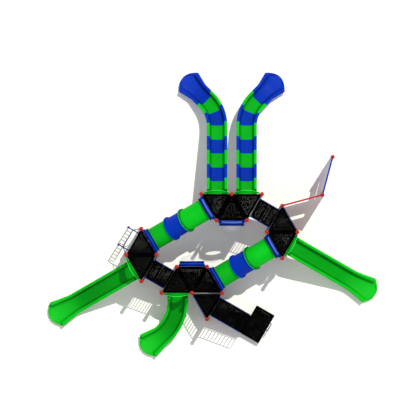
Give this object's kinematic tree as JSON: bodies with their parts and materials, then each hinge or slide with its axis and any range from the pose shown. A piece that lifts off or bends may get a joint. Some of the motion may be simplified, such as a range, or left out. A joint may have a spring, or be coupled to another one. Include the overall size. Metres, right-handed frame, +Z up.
{
  "type": "playground play structure",
  "caption": "Playground structure of triangular decks on round posts, with hooded slides, crawl tunnels, stairs, a transfer platform and climbers.",
  "frame": {"origin": "middle of the plan box on the ground under the posts", "axes": "+X across the layout from the left slide to the right slide, +Y towards the twin slides, +Z up"},
  "size_m": [11.5534, 9.9588, 3.4],
  "materials": {
    "post_paint": "glossy red powder coat on round steel posts and caps",
    "deck_coating": "near-black soft vinyl coating on perforated steel",
    "riser_paint": "grey powder coat",
    "plastic_green": "bright green moulded plastic, slightly glossy",
    "plastic_blue": "strong blue moulded plastic, slightly glossy",
    "plastic_red": "red textured sheet plastic",
    "rail_paint": "blue powder coat on steel bars and tubes"
  },
  "bodies": {
    "root": {"post_a1": "post_paint", "post_a2": "post_paint", "post_a3": "post_paint", "post_a4": "post_paint", "post_a5": "post_paint", "post_b1": "post_paint", "post_b3": "post_paint", "post_b2": "post_paint", "post_b4": "post_paint", "post_c1": "post_paint", "post_c2": "post_paint", "post_c3": "post_paint", "post_c4": "post_paint", "post_d2": "post_paint", "post_d5": "post_paint", "post_d1": "post_paint", "post_d4": "post_paint", "post_d3": "post_paint", "post_e1": "post_paint", "post_w1": "post_paint", "post_w2": "post_paint", "deck_a": "deck_coating", "deck_b": "deck_coating", "deck_c": "deck_coating", "deck_d": "deck_coating", "deck_e": "deck_coating", "stair_ac_steps": "deck_coating", "stair_bd_steps": "deck_coating", "transfer_station": "deck_coating", "deck_riser": "riser_paint", "slide_twin_left": "plastic_green", "slide_twin_right": "plastic_green", "slide_left": "plastic_green", "slide_right": "plastic_green", "slide_curved": "plastic_green", "hood_twin_left": "plastic_green", "hood_twin_right": "plastic_green", "hood_left": "plastic_green", "hood_right": "plastic_green", "hood_curved": "plastic_green", "tunnel_1_upper": "plastic_green", "tunnel_1_lower": "plastic_green", "tunnel_2_upper": "plastic_green", "tunnel_2_lower": "plastic_green", "tunnel_1_middle": "plastic_blue", "tunnel_2_middle": "plastic_blue", "tunnel_panel_a": "plastic_blue", "tunnel_panel_b": "plastic_blue", "tunnel_panel_c": "plastic_blue", "tunnel_panel_d": "plastic_blue", "bubble_panel_a": "plastic_blue", "bubble_panel_d": "plastic_blue", "climbing_wall_blue": "plastic_blue", "climbing_wall_red": "plastic_red", "stair_ac_rails": "rail_paint", "stair_bd_rails": "rail_paint", "transfer_rails": "rail_paint", "rung_climber": "rail_paint", "barrier_c": "rail_paint", "barrier_e": "rail_paint"}
  },
  "joints": []
}
